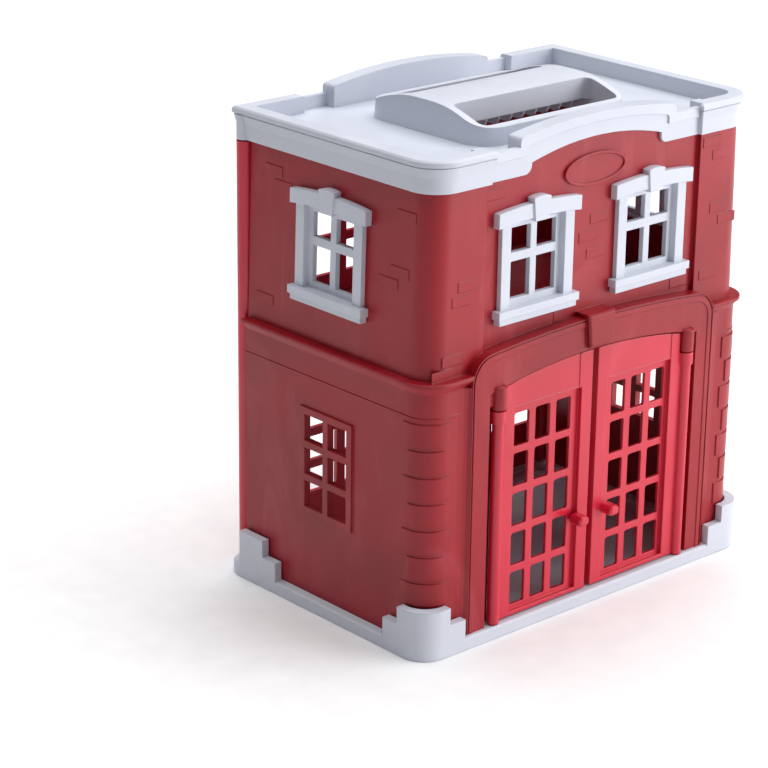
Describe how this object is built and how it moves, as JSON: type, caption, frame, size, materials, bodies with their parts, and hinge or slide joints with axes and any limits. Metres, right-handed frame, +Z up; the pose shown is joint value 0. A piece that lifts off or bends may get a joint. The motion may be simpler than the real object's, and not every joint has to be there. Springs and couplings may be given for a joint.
{
  "type": "toy fire station",
  "caption": "Two-storey toy fire station play case with swinging garage doors, rear doors that open the rooms, a fire pole and a roof with a carrying handle.",
  "frame": {"origin": "centre of the base's underside", "axes": "+Z up, the garage doors face -Y, +X to the right of someone who looks at the garage doors"},
  "size_m": [0.253, 0.1702, 0.276],
  "materials": {
    "wall_red": "satin",
    "door_red": "satin",
    "trim_white": "satin"
  },
  "bodies": {
    "station": {"base": "trim_white", "wall_shell": "wall_red", "roof": "trim_white", "second_floor": "wall_red", "fire_pole": "trim_white", "pole_pedestal": "trim_white", "front_window_left": "trim_white", "front_window_right": "trim_white", "side_window_left": "trim_white", "side_window_right": "trim_white"},
    "front_door_left": {"front_door_left": "door_red"},
    "front_door_right": {"front_door_right": "door_red"},
    "rear_door_left": {"rear_door_left": "door_red"},
    "rear_door_right": {"rear_door_right": "door_red"}
  },
  "joints": [
    {"name": "front_door_left_hinge", "type": "hinge", "parent": "station", "child": "front_door_left", "pos_m": [-0.0719, -0.0792, 0.064], "axis": [0, 0, -1], "range_deg": [0, 110]},
    {"name": "front_door_right_hinge", "type": "hinge", "parent": "station", "child": "front_door_right", "pos_m": [0.0719, -0.0792, 0.064], "axis": [0, 0, 1], "range_deg": [0, 110]},
    {"name": "rear_door_left_hinge", "type": "hinge", "parent": "station", "child": "rear_door_left", "pos_m": [-0.1165, 0.07325, 0.128], "axis": [0, 0, 1], "range_deg": [0, 165]},
    {"name": "rear_door_right_hinge", "type": "hinge", "parent": "station", "child": "rear_door_right", "pos_m": [0.1165, 0.07325, 0.128], "axis": [0, 0, -1], "range_deg": [0, 165]}
  ]
}
